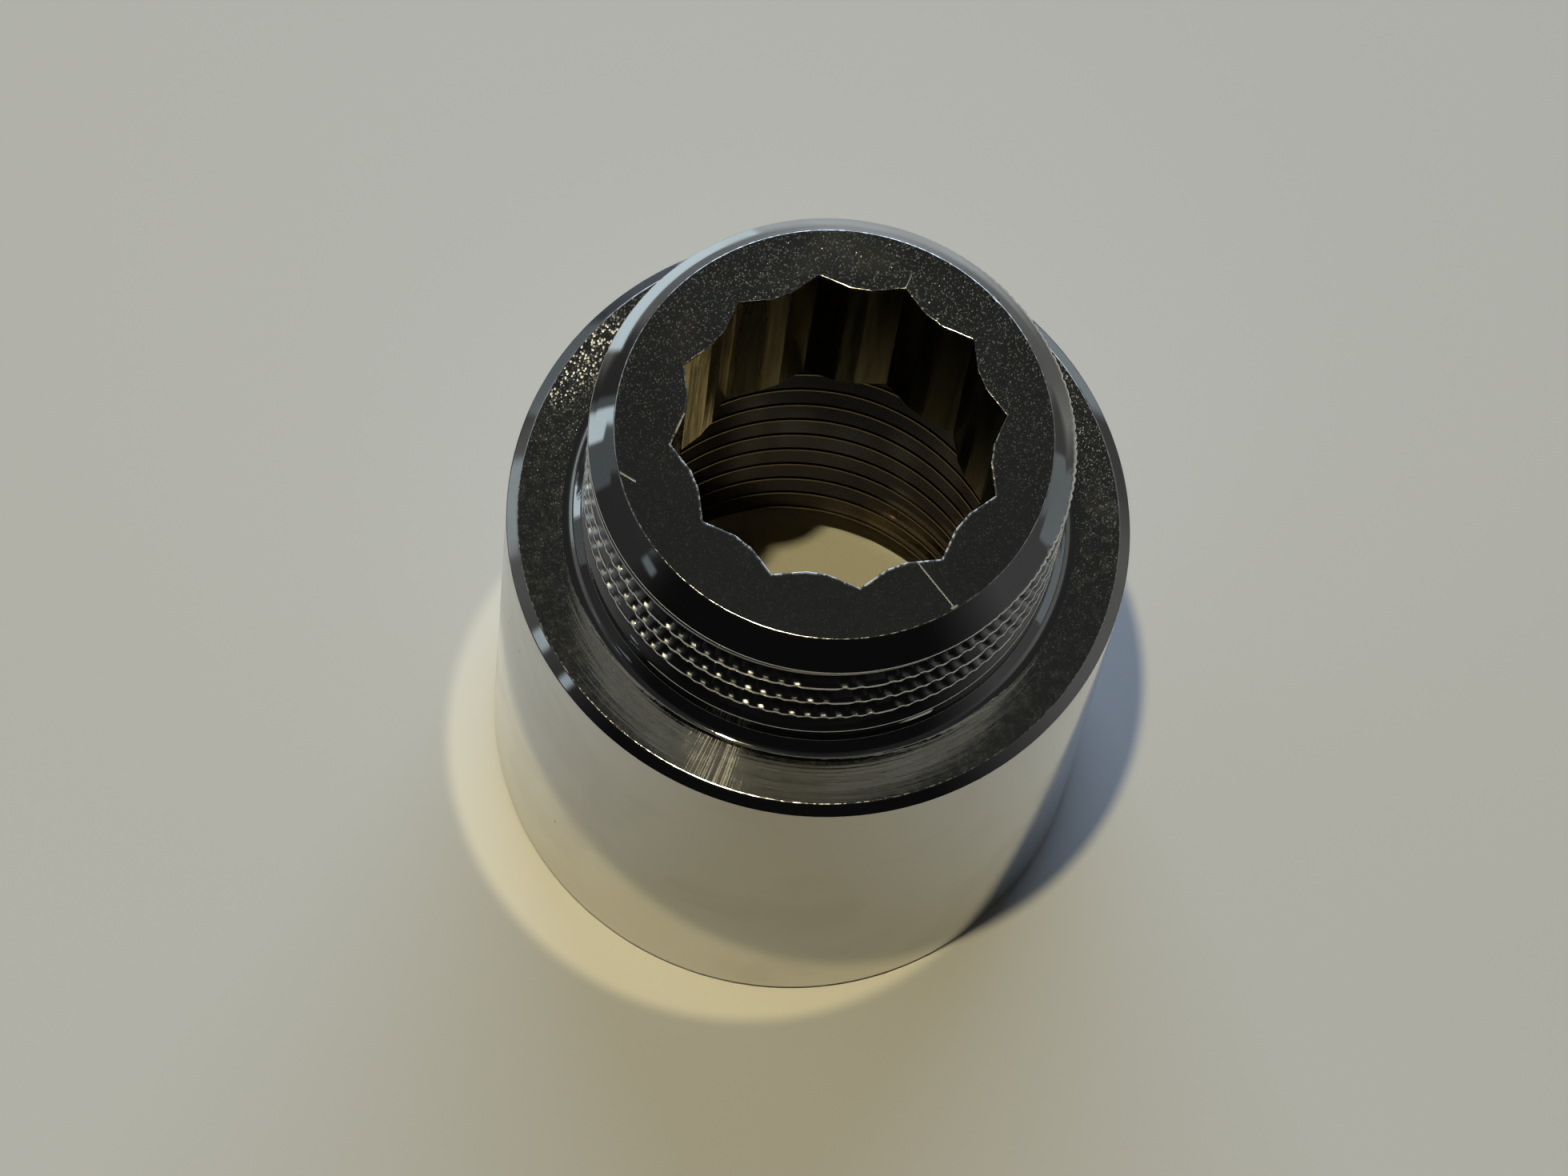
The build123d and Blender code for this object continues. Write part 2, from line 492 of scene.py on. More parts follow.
def extender_strips(sizes):
    """The whole outline as strips of rings: each strip with its finish and its wear."""
    turns = sizes.key_turn + 2 * pi * np.arange(sizes.columns + 1) / sizes.columns
    top, base = sizes.total_length, sizes.body_length
    crest, body = sizes.crest_radius, sizes.body_radius
    nose_edge = (crest - sizes.nose_bevel, top)
    nose_foot = (crest, sizes.nose_height)
    foot_top = (crest, sizes.foot_height)
    foot_base = (crest + sizes.foot_height - base, base)
    shoulder_edge = (body - sizes.shoulder_bevel_width, base)
    body_top = (body, base - sizes.shoulder_bevel_height)
    body_foot = (body, sizes.rim_bevel)
    rim_edge = (body - sizes.rim_bevel, 0)
    mouth_edge = (crest + sizes.mouth_margin, 0)
    mouth_foot = (crest, sizes.mouth_margin)
    socket_depth = base - sizes.shoulder_web
    ease = sizes.edge_ease

    lip = lip_rings(sizes, turns)
    nose_round = rings(turns, eased((0, top), nose_edge, nose_foot, ease))
    nose_round = knocked(sizes, nose_round, sizes.seed + 5)
    nick = np.clip(1 - np.abs(np.sin(turns / 2 - sizes.nose_nick / 2)) / 0.009, 0, 1)
    nose_round = pressed_in(nose_round, sizes.nick_depth * nick * by_ring(0, 1, 1, 0.8, 0.5, 0))
    sharp_foot = rings(turns, eased(nose_edge, nose_foot, foot_top, ease))
    round_foot = rings(turns, eased(nose_edge, nose_foot, foot_top, sizes.rim_ease, reach_after=ease))
    rounded = rounded_run(sizes, turns)
    bevel_foot = sharp_foot + (round_foot - sharp_foot) * rounded[:, None]
    bevel_foot = pressed_in(bevel_foot, rim_cuts(sizes, turns) * by_ring(0, 0, 0.2, 0.8, 1, 1))
    corner_wear = by_ring(0, 0, 1, 1, 0, 0)
    scuffed = 0.5 * np.clip(3 * np.cos(turns - sizes.rim_scuff) - 1.9, 0, 1)
    foot_wear = (0.2 + 0.8 * np.maximum(rounded, scuffed)) * corner_wear
    shoulder_round = rings(turns, eased(foot_base, shoulder_edge, body_top, ease))
    shoulder_round = knocked(sizes, shoulder_round, sizes.seed + 6)
    foot_round = rings(turns, eased(foot_top, foot_base, shoulder_edge, sizes.foot_ease, 5))
    thread, crest_wear = spigot_rings(sizes, turns)
    tapping = socket_rings(sizes, turns)
    key = key_rings(sizes, turns)
    drill = sizes.drill_radius
    bore = rings(turns, [(drill, sizes.socket_end), (drill, socket_depth)])
    lip_wear = by_ring(0.4, 1, 0.8, 0) * np.clip(0.8 - 0.6 * np.sin(turns), 0.3, 1)
    return [
        (lip, FACED, lip_wear),
        (between(lip[-1], nose_round[0], 3), FACED, 0.0),
        (nose_round[:2], FACED, 0.0),
        (nose_round[2:], POLISHED, corner_wear[2:]),
        (crowned(nose_round[-1], bevel_foot[0], 3, sizes.bevel_crown), POLISHED, 0.0),
        (bevel_foot, POLISHED, foot_wear),
        (thread, THREADED, crest_wear),
        (rings(turns, eased(nose_foot, foot_top, foot_base, ease)), THREADED, 0.3 * corner_wear),
        (foot_round, THREADED, 0.0),
        (between(foot_round[-1], shoulder_round[0], 3), FACED, 0.0),
        (shoulder_round[:2], FACED, 0.0),
        (shoulder_round[2:], POLISHED, 0.8 * corner_wear[2:]),
        (rings(turns, eased(shoulder_edge, body_top, body_foot, ease)), POLISHED, 0.5 * corner_wear),
        (rings(turns, eased(body_top, body_foot, rim_edge, ease)), POLISHED, 0.4 * corner_wear),
        (rings(turns, eased(body_foot, rim_edge, mouth_edge, ease)), POLISHED, 0.4 * corner_wear),
        (rings(turns, eased(rim_edge, mouth_edge, mouth_foot, ease)), FACED, 0.4 * corner_wear),
        (tapping, BRASS, 0.0),
        (bore, BRASS, 0.0),
        (between(bore[-1], key[0], 1), BRASS, 0.0),
        (key, BRASS, 0.0),
        (lip[:1], BRASS, 0.5),
    ]


def mesh_from_strips(name, strips, sharp_angle):
    """A closed mesh: four-sided faces between each ring and the next, with the seam, the loop's two
    ends and the rings that meet at a thread's end merged."""
    points = np.concatenate([points for points, _, _ in strips])
    finish = np.concatenate([np.full(len(points), finish) for points, finish, _ in strips])
    wear = np.concatenate([np.broadcast_to(wear, points.shape[:2]) for points, _, wear in strips])
    rows, columns = points.shape[:2]
    corner = np.arange(rows * columns).reshape(rows, columns)
    faces = np.stack([corner[:-1, :-1], corner[1:, :-1], corner[1:, 1:], corner[:-1, 1:]], axis=-1)
    face_finish = np.repeat(finish[1:], columns - 1)

    mesh = bpy.data.meshes.new(name)
    mesh.from_pydata(points.reshape(-1, 3), [], faces.reshape(-1, 4))
    mesh.polygons.foreach_set("material_index", face_finish.astype(np.int32))
    mesh.polygons.foreach_set("use_smooth", np.ones(len(face_finish), dtype=bool))
    worn = mesh.attributes.new("wear", "FLOAT", "POINT")
    worn.data.foreach_set("value", wear.astype(np.float32).ravel())

    work = bmesh.new()
    work.from_mesh(mesh)
    bmesh.ops.remove_doubles(work, verts=work.verts, dist=0.001 * MM)
    work.to_mesh(mesh)
    work.free()
    mesh.set_sharp_from_angle(angle=sharp_angle)
    return mesh


# Materials

def put(tree, kind, inputs=None, **settings):
    """Adds a node with its own settings. Its inputs are linked to a socket or set to a value."""
    node = tree.nodes.new(kind)
    for name, value in settings.items():
        setattr(node, name, value)
    for name, value in (inputs or {}).items():
        if isinstance(value, NodeSocket):
            tree.links.new(value, node.inputs[name])
        else:
            node.inputs[name].default_value = value
    return node


def maths(tree, operation, *values):
    """The result of a Math node."""
    return put(tree, "ShaderNodeMath", dict(enumerate(values)), operation=operation).outputs[0]


def times(tree, first, second):
    """The product of two values."""
    return maths(tree, "MULTIPLY", first, second)


def plus(tree, first, second):
    """The sum of two values."""
    return maths(tree, "ADD", first, second)


def most(tree, first, second):
    """The larger of two values."""
    return maths(tree, "MAXIMUM", first, second)


def vectors(tree, operation, *values, output=0):
    """The result of a Vector Math node."""
    node = put(tree, "ShaderNodeVectorMath", dict(enumerate(values)), operation=operation)
    return node.outputs[output]


def mapped(tree, value, from_low, from_high, to_low=0.0, to_high=1.0):
    """A value moved smoothly from one range to another, and kept inside it."""
    inputs = {
        "Value": value, "From Min": from_low, "From Max": from_high, "To Min": to_low, "To Max": to_high
    }
    return put(tree, "ShaderNodeMapRange", inputs, interpolation_type="SMOOTHSTEP").outputs["Result"]


def graded(tree, share, at_none, at_all):
    """A value that goes smoothly from one to another as a share goes from 0 to 1."""
    return mapped(tree, share, 0.0, 1.0, at_none, at_all)


def noise(tree, place, scale, detail=3.0, **others):
    """The value of a noise texture."""
    inputs = {"Vector": place, "Scale": scale, "Detail": detail, **others}
    return put(tree, "ShaderNodeTexNoise", inputs).outputs["Fac"]


def place_on(tree):
    """The place on the object."""
    return put(tree, "ShaderNodeTexCoord").outputs["Object"]


def parts_of(tree, place):
    """A place's X, Y and Z."""
    return put(tree, "ShaderNodeSeparateXYZ", {0: place}).outputs


def from_axis(tree, place):
    """A place's distance from the Z axis."""
    return vectors(tree, "LENGTH", vectors(tree, "MULTIPLY", place, (1, 1, 0)), output="Value")


def blended(tree, amount, first, second):
    """The first colour, going over to the second by an amount."""
    node = put(tree, "ShaderNodeMix", data_type="RGBA")
    sockets = [socket for socket in node.inputs if socket.enabled]
    for socket, value in zip(sockets, (amount, first, second)):
        if isinstance(value, NodeSocket):
            tree.links.new(value, socket)
        else:
            socket.default_value = value
    return next(socket for socket in node.outputs if socket.enabled)


def group(name, inputs, outputs):
    """An empty node group with its sockets, and its two end nodes."""
    tree = bpy.data.node_groups.new(name, "ShaderNodeTree")
    for label, (kind, default) in inputs.items():
        tree.interface.new_socket(label, in_out="INPUT", socket_type=kind).default_value = default
    for label in outputs:
        tree.interface.new_socket(label, in_out="OUTPUT", socket_type="NodeSocketFloat")
    return tree, tree.nodes.new("NodeGroupInput").outputs, tree.nodes.new("NodeGroupOutput").inputs


def turning_group():
    """Marks of the turning tool: noise that changes by so many lines a metre with the radius, and by
    so many rays a radian round it."""
    inputs = {"Lines": ("NodeSocketFloat", 5000.0), "Rays": ("NodeSocketFloat", 1.0)}
    tree, given, result = group("turning_marks", inputs, ["Height"])
    place = place_on(tree)
    parts = parts_of(tree, place)
    lines = times(tree, from_axis(tree, place), given["Lines"])
    rays = times(tree, maths(tree, "ARCTAN2", parts["Y"], parts["X"]), given["Rays"])
    across = put(tree, "ShaderNodeCombineXYZ", {"X": lines, "Y": rays}).outputs[0]
    tree.links.new(noise(tree, across, 1.0), result["Height"])
    return tree


def speck_group():
    """Specks: round spots in the cells of a random grid, of which an amount is kept."""
    inputs = {
        "Cells": ("NodeSocketFloat", 1000.0),
        "Amount": ("NodeSocketFloat", 0.2),
        "Size": ("NodeSocketFloat", 0.2),
    }
    tree, given, result = group("specks", inputs, ["Mask"])
    inputs = {"Vector": place_on(tree), "Scale": given["Cells"]}
    cells = put(tree, "ShaderNodeTexVoronoi", inputs)
    chance = put(tree, "ShaderNodeSeparateColor", {0: cells.outputs["Color"]}).outputs
    kept = maths(tree, "LESS_THAN", chance[0], given["Amount"])
    reach = times(tree, given["Size"], plus(tree, chance[1], 0.4))
    spot = maths(tree, "SUBTRACT", 1.0, maths(tree, "DIVIDE", cells.outputs["Distance"], reach))
    spot = times(tree, mapped(tree, spot, 0.0, 0.5), kept)
    tree.links.new(spot, result["Mask"])
    return tree


def stain_group():
    """Stains: soft patches where slow noise is above a level."""
    inputs = {"Patches": ("NodeSocketFloat", 100.0), "Level": ("NodeSocketFloat", 0.5)}
    tree, given, result = group("stains", inputs, ["Mask"])
    slow = noise(tree, place_on(tree), given["Patches"], 4.0, Roughness=0.6, Distortion=0.4)
    high = plus(tree, given["Level"], 0.22)
    tree.links.new(mapped(tree, slow, given["Level"], high), result["Mask"])
    return tree


def wear_group():
    """Worn edges: the mesh's own wear, broken up by fine noise, less so by an evenness."""
    inputs = {"Grain": ("NodeSocketFloat", 3000.0), "Evenness": ("NodeSocketFloat", 0.0)}
    tree, given, result = group("worn_edges", inputs, ["Mask"])
    worn = put(tree, "ShaderNodeAttribute", attribute_name="wear").outputs["Fac"]
    fine = noise(tree, place_on(tree), given["Grain"])
    broken = most(tree, mapped(tree, fine, 0.38, 0.6), given["Evenness"])
    tree.links.new(times(tree, worn, broken), result["Mask"])
    return tree


def scratch_group():
    """A scratch: nearness to the straight line between two points."""
    inputs = {
        "Start": ("NodeSocketVector", (0, 0, 0)),
        "End": ("NodeSocketVector", (0, 0, 0)),
        "Width": ("NodeSocketFloat", 0.1 * MM),
    }
    tree, given, result = group("scratch", inputs, ["Mask"])
    line = vectors(tree, "SUBTRACT", given["End"], given["Start"])
    away = vectors(tree, "SUBTRACT", place_on(tree), given["Start"])
    along = vectors(tree, "DOT_PRODUCT", away, line, output="Value")
    whole = vectors(tree, "DOT_PRODUCT", line, line, output="Value")
    part = put(tree, "ShaderNodeClamp", {"Value": maths(tree, "DIVIDE", along, whole)}).outputs[0]
    nearest = put(tree, "ShaderNodeVectorMath", {0: line}, operation="SCALE")
    tree.links.new(part, nearest.inputs["Scale"])
    distance = vectors(tree, "DISTANCE", away, nearest.outputs[0], output="Value")
    share = maths(tree, "DIVIDE", distance, given["Width"])
    tree.links.new(mapped(tree, share, 0.3, 1.0, 1.0, 0.0), result["Mask"])
    return tree


def use(tree, group_tree, **values):
    """Places a node group and gives its first output."""
    return put(tree, "ShaderNodeGroup", values, node_tree=group_tree).outputs[0]


def opaque(rgb):
    """A colour property as a colour with alpha."""
    return (*rgb, 1.0)


def metal(name):
    """A new metal: the material, its node tree and its shader."""
    material = bpy.data.materials.new(name)
    material.use_nodes = True
    shader = material.node_tree.nodes["Principled BSDF"]
    shader.inputs["Metallic"].default_value = 1.0
    return material, material.node_tree, shader


def dress(tree, shader, base, rough, height, depth):
    """Links a colour, a roughness and a bump of so much depth to a shader."""
    bump = put(tree, "ShaderNodeBump", {"Height": height, "Strength": 1.0, "Distance": depth})
    tree.links.new(base, shader.inputs["Base Color"])
    tree.links.new(rough, shader.inputs["Roughness"])
    tree.links.new(bump.outputs[0], shader.inputs["Normal"])


def stroke(tree, groups, mark, height):
    """A straight mark at a height, from its start, its end and its width in millimetres."""
    (start_x, start_y), (end_x, end_y), width = mark
    return use(
        tree, groups["scratch"], Width=width * MM,
        Start=(start_x * MM, start_y * MM, height), End=(end_x * MM, end_y * MM, height),
    )


def polished_chrome(finishes, groups, sizes):
    """Polished plate: hazy patches, softer on the body, a few dark pits, and worn edges."""
    material, tree, shader = metal("polished_chrome")
    place = place_on(tree)
    haze = use(tree, groups["stains"], Patches=140.0, Level=0.45)
    pits = use(tree, groups["specks"], Cells=520.0, Amount=0.03, Size=0.08)
    for azimuth, height, width in BODY_PITS:
        out = direction(radians(azimuth), 0) * sizes.body_radius
        spot = (out.x, out.y, height * MM)
        pit = use(tree, groups["scratch"], Start=spot, End=spot, Width=width * MM)
        pits = most(tree, pits, pit)
    worn = use(tree, groups["worn_edges"], Grain=4200.0, Evenness=0.25)
    waves = noise(tree, place, 420.0, 2.0)
    base = blended(tree, haze, opaque(finishes.chrome), opaque(finishes.haze))
    base = blended(tree, pits, base, opaque(finishes.dirt_and_shade))
    base = blended(tree, worn, base, opaque(finishes.bright))
    rough = graded(tree, haze, 0.045, 0.09)
    bevel_base = sizes.body_length - sizes.shoulder_bevel_height
    on_body = mapped(tree, parts_of(tree, place)["Z"], bevel_base - 0.3 * MM, bevel_base, 1.0, 0.0)
    rough = plus(tree, rough, times(tree, on_body, 0.035))
    rough = plus(tree, rough, times(tree, worn, 0.2))
    height = maths(tree, "SUBTRACT", times(tree, waves, 0.05), pits)
    dress(tree, shader, base, rough, height, 0.02 * MM)
    return material


def faced_chrome(finishes, groups, sizes):
    """Plate over a faced end: rings of the turning tool, deeper on the shoulder than on the nose,
    fine specks that grow denser to the back, a few scratches on the nose, a patch of the shoulder
    where brass shows through in specks, another that is rubbed outwards, and worn edges."""
    material, tree, shader = metal("faced_chrome")
    parts = parts_of(tree, place_on(tree))
    marks = use(tree, groups["turning_marks"], Lines=5200.0)
    specks = use(tree, groups["specks"], Cells=10500.0, Amount=0.8, Size=0.40)
    patches = use(tree, groups["stains"], Patches=420.0, Level=0.38)
    worn = use(tree, groups["worn_edges"], Grain=4200.0, Evenness=0.35)
    on_nose = mapped(tree, parts["Z"], sizes.body_length + 3 * MM, sizes.body_length + 4 * MM)
    behind = mapped(tree, parts["Y"], -9 * MM, 9 * MM, 0.12, 0.46)
    pitted = times(tree, specks, behind)
    scored = 0.0
    for mark in NOSE_SCRATCHES:
        scored = most(tree, scored, stroke(tree, groups, mark, sizes.total_length))
    through = use(tree, groups["specks"], Cells=6400.0, Amount=0.92, Size=0.46)
    through = times(tree, through, stroke(tree, groups, THROUGH_PATCH, sizes.body_length))
    bright = most(tree, times(tree, scored, 0.6), most(tree, pitted, worn))
    base = blended(tree, patches, opaque(finishes.chrome), opaque(finishes.haze))
    base = blended(tree, bright, base, opaque(finishes.bright))
    base = blended(tree, through, base, opaque(finishes.brass))
    bright = most(tree, bright, through)
    mottle = use(tree, groups["stains"], Patches=2400.0, Level=0.42)
    rays = use(tree, groups["turning_marks"], Lines=120.0, Rays=260.0)
    rubbed = stroke(tree, groups, RUBBED_PATCH, sizes.body_length)
    rubbed = times(tree, rubbed, mapped(tree, rays, 0.38, 0.64))
    rough = graded(tree, on_nose, 0.075, 0.085)
    for mask, share in (
        (mottle, graded(tree, on_nose, 0.05, 0.015)),
        (patches, graded(tree, on_nose, 0.03, 0.012)),
        (bright, 0.3),
        (rubbed, 0.23),
    ):
        rough = plus(tree, rough, times(tree, mask, share))
    turned = times(tree, marks, graded(tree, on_nose, 0.5, 0.06))
    height = plus(tree, turned, times(tree, bright, 0.5))
    dress(tree, shader, base, rough, height, 0.012 * MM)
    return material


def threaded_chrome(finishes, groups, sizes):
    """Plate on the thread: dirt in the roots, painted shade darkening the land under the nose's bevel,
    bright crests.
    """
    material, tree, shader = metal("threaded_chrome")
    place = place_on(tree)
    radius, height = from_axis(tree, place), parts_of(tree, place)["Z"]
    patches = use(tree, groups["stains"], Patches=300.0, Level=0.4)
    worn = use(tree, groups["worn_edges"], Grain=2600.0, Evenness=0.85)
    grain = noise(tree, place, 4000.0)
    low, high = sizes.drill_radius + 0.35 * MM, sizes.crest_radius - 0.03 * MM
    root = mapped(tree, radius, low, high, 1.0, 0.0)
    dirt_and_painted_shade = times(tree, root, plus(tree, times(tree, patches, 0.3), 0.65))
    # Painted shade: the land under the nose's bevel is darkened
    collar_shade = mapped(tree, height, sizes.notch_end, sizes.notch_end + 0.25 * MM, 0.0, 0.6)
    dirt_and_painted_shade = most(tree, dirt_and_painted_shade, collar_shade)
    base = blended(tree, dirt_and_painted_shade, opaque(finishes.chrome), opaque(finishes.dirt_and_shade))
    base = blended(tree, worn, base, opaque(finishes.bright))
    rough = graded(tree, dirt_and_painted_shade, 0.03, 0.1)
    rough = plus(tree, rough, times(tree, worn, 0.58))
    dress(tree, shader, base, rough, grain, 0.002 * MM)
    return material


def bare_brass(finishes, groups, sizes):
    """Brass with no plate: streaks of the broach along the axis, bright brass on the left and front
    walls of the key hole and a painted shade darkening the other walls, darkened in the socket, and one
    painted orange glint on the socket's thread."""
    material, tree, shader = metal("bare_brass")
    shader.inputs["Specular Tint"].default_value = opaque(finishes.edge)
    place = place_on(tree)
    parts = parts_of(tree, place)
    drawn = put(tree, "ShaderNodeMapping", {"Vector": place, "Scale": (1.0, 1.0, 0.03)})
    streaks = noise(tree, drawn.outputs[0], 2600.0, 4.0, Roughness=0.65)
    worn = use(tree, groups["worn_edges"], Grain=2600.0, Evenness=0.9)
    web = sizes.body_length - sizes.shoulder_web
    inside = mapped(tree, parts["Z"], web + 1.0 * MM, web + 1.25 * MM, 1.0, 0.0)
    # Painted shade: all walls of the key hole but the left and the front ones get the dark copy of the
    # brass
    left = plus(tree, parts["X"], times(tree, streaks, 2 * MM))
    painted_shade = mapped(tree, left, -4.8 * MM, -3.2 * MM)
    painted_shade = times(tree, painted_shade, mapped(tree, parts["Y"], -3 * MM, -1 * MM))
    base = blended(tree, painted_shade, opaque(finishes.brass), opaque(finishes.shaded_brass))
    lines = mapped(tree, streaks, 0.42, 0.64, 0.0, 0.8)
    base = blended(tree, lines, base, opaque(finishes.dirt_and_shade))
    base = blended(tree, inside, base, opaque(finishes.bronze))
    depth = maths(tree, "SUBTRACT", from_axis(tree, place), sizes.drill_radius)
    ridge = mapped(tree, depth, 0.02 * MM, 0.1 * MM, 0.72, 0.0)
    base = blended(tree, times(tree, ridge, inside), base, opaque(finishes.dirt_and_shade))
    # Painted glint: an orange, rougher spot where the lamp glints on the socket's thread
    painted_glint = use(tree, groups["scratch"], Start=PAINTED_GLINT_START, End=PAINTED_GLINT_END, Width=0.3 * MM)
    base = blended(tree, painted_glint, base, opaque(finishes.glint_colour))
    base = blended(tree, times(tree, worn, 0.6), base, opaque(finishes.bright))
    rough = mapped(tree, streaks, 0.3, 0.7, 0.16, 0.28)
    rough = graded(tree, inside, rough, 0.12)
    rough = plus(tree, rough, times(tree, painted_glint, 0.3))
    tree.links.new(graded(tree, inside, 1.0, 0.92), shader.inputs["Metallic"])
    drawn_deep = times(tree, streaks, graded(tree, inside, 1.0, 0.0))
    dress(tree, shader, base, rough, drawn_deep, 0.012 * MM)
    return material


def floor_material(stage, body_radius):
    """A pale matt floor with light and shade painted on it: painted light where the polished body
    throws the lamp's light, inside the body's own circle, moved towards the lamp, and painted shade
    inside the socket's circle."""
    material = bpy.data.materials.new("pale_floor")
    material.use_nodes = True
    tree = material.node_tree
    shader = tree.nodes["Principled BSDF"]
    place = place_on(tree)
    # Painted light: a glow ring where the body throws the lamp's light, fainter to the back
    centre = direction(stage.lamp_azimuth, 0) * stage.glow_shift
    distance = vectors(tree, "DISTANCE", place, centre, output="Value")
    thrown = mapped(tree, distance, body_radius - 0.3 * MM, body_radius + 0.6 * MM, 1.0, 0.0)
    ahead = parts_of(tree, place)["Y"]
    thrown = times(tree, thrown, mapped(tree, ahead, -14 * MM, 4 * MM, 1.0, 0.45))
    # Painted shade: the floor inside the socket's circle, darker and yellower
    from_middle = vectors(tree, "LENGTH", place, output="Value")
    under = mapped(tree, from_middle, 9 * MM, 10.5 * MM, 1.0, 0.0)
    base = blended(tree, thrown, opaque(stage.floor), opaque(stage.glow))
    base = blended(tree, under, base, opaque(stage.shade))
    shader.inputs["Roughness"].default_value = 0.55
    tree.links.new(base, shader.inputs["Base Color"])
    return material


# Stage

def link(name, data):
    """Puts an object into the scene."""
    thing = bpy.data.objects.new(name, data)
    bpy.context.scene.collection.objects.link(thing)
    return thing


def direction(azimuth, elevation):
    """The way to a point on the sky, from its azimuth and elevation."""
    return Vector((cos(azimuth) * cos(elevation), sin(azimuth) * cos(elevation), sin(elevation)))


def area_lamp(name, place, size, power, tint, shape="DISK", size_y=None):
    """An area lamp that looks at the part's middle."""
    data = bpy.data.lights.new(name, "AREA")
    data.shape = shape
    data.size = size
    if size_y:
        data.size_y = size_y
    data.energy = power
    data.color = tint
    lamp = link(name, data)
    lamp.location = place
    lamp.rotation_mode = "QUATERNION"
    lamp.rotation_quaternion = (Vector((0, 0, 0.015)) - place).to_track_quat("-Z", "Y")
    lamp.visible_camera = False
    return lamp


def screen_material(stage):
    """A dim glowing screen that paints the reflections in the metal: darkest in front and low on the
    left, with brighter panes, painted reflections of windows, on its left and at its back. It fades out
    towards its foot, less so at the back."""
    material = bpy.data.materials.new("dim_screen")
    material.use_nodes = True
    tree = material.node_tree
    tree.nodes.remove(tree.nodes["Principled BSDF"])
    parts = parts_of(tree, place_on(tree))
    turn = maths(tree, "ARCTAN2", parts["Y"], parts["X"])
    turn = maths(tree, "MODULO", plus(tree, turn, 2 * pi), 2 * pi)
    wide = stage.screen_radius
    above = mapped(tree, parts["Y"], -0.75 * wide, 0.1 * wide, 0.006, 0.145)
    right = plus(tree, times(tree, parts["X"], 1.7), parts["Y"])
    below = mapped(tree, right, -1.3 * wide, 1.4 * wide, 0.035, 0.075)
    below = maths(tree, "MINIMUM", above, below)
    ground = mapped(tree, parts["Z"], 42 * MM, 49 * MM, below, above)
    level = 0.0
    soft_turn, soft_rise = radians(2), 1 * MM
    for (first, last), (low, high), climb, brightness in SCREEN_PANES:
        from_turn = mapped(tree, turn, radians(first), radians(first) + soft_turn)
        to_turn = mapped(tree, turn, radians(last) - soft_turn, radians(last), 1.0, 0.0)
        turned = maths(tree, "SUBTRACT", turn, radians(first))
        climbed = times(tree, turned, climb * MM / radians(1))
        height = maths(tree, "SUBTRACT", parts["Z"], climbed)
        from_rise = mapped(tree, height, low * MM, low * MM + soft_rise)
        to_rise = mapped(tree, height, high * MM - soft_rise, high * MM, 1.0, 0.0)
        pane = times(tree, from_turn, to_turn)
        pane = times(tree, pane, times(tree, from_rise, to_rise))
        level = most(tree, level, times(tree, pane, brightness))
    tint = blended(tree, level, ground, PANE_TINT)
    glow = put(tree, "ShaderNodeEmission", {"Color": tint})
    foot = stage.screen_foot
    at_back = mapped(tree, parts["Y"], 0.35 * wide, 0.75 * wide, 0.0, 0.75)
    at_back = times(tree, at_back, mapped(tree, parts["Z"], -0.1 * foot, 0.5 * foot))
    seen = most(tree, mapped(tree, parts["Z"], 0.7 * foot, 1.3 * foot), at_back)
    seen = most(tree, seen, level)
    clear = put(tree, "ShaderNodeBsdfTransparent")
    cover = put(tree, "ShaderNodeMixShader", {"Fac": seen, 1: clear.outputs[0], 2: glow.outputs[0]})
    tree.links.new(cover.outputs[0], tree.nodes["Material Output"].inputs["Surface"])
    return material


def make_world():
    """A dim room: dark in front, dim overhead, paler towards the horizon at the sides and the back."""
    world = bpy.data.worlds.new("dim_room")
    bpy.context.scene.world = world
    world.use_nodes = True
    tree = world.node_tree
    sky = put(tree, "ShaderNodeTexCoord").outputs["Generated"]
    parts = parts_of(tree, sky)
    low = mapped(tree, parts["Z"], 0.5, 0.93, 1.0, 0.0)
    behind = mapped(tree, parts["Y"], -0.75, 0.0)
    level = times(tree, low, behind)
    overhead = blended(tree, behind, ROOM_FRONT, ROOM_CEILING)
    tint = blended(tree, level, overhead, ROOM_SIDES)
    tree.links.new(tint, tree.nodes["Background"].inputs["Color"])


class EXTENDER_OT_tap_extender(Operator):
    """Builds the tap extender in place of the plain solid"""

    bl_idname = "extender.tap_extender"
    bl_label = "Tap extender"
    bl_options = {"REGISTER", "UNDO"}

    def execute(self, context):
        sizes = context.scene.extender_sizes
        finishes = context.scene.extender_finishes
        name, sharp_angle = "chromed_extender", radians(24)
        piece = link(name, mesh_from_strips(name, extender_strips(sizes), sharp_angle))
        makers = (turning_group, speck_group, stain_group, wear_group, scratch_group)
        groups = {tree.name: tree for tree in (make() for make in makers)}
        for material in (
            polished_chrome(finishes, groups, sizes),
            faced_chrome(finishes, groups, sizes),
            threaded_chrome(finishes, groups, sizes),
            bare_brass(finishes, groups, sizes),
        ):
            piece.data.materials.append(material)
        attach(piece, BODY)
        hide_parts(NODE)
        return {"FINISHED"}


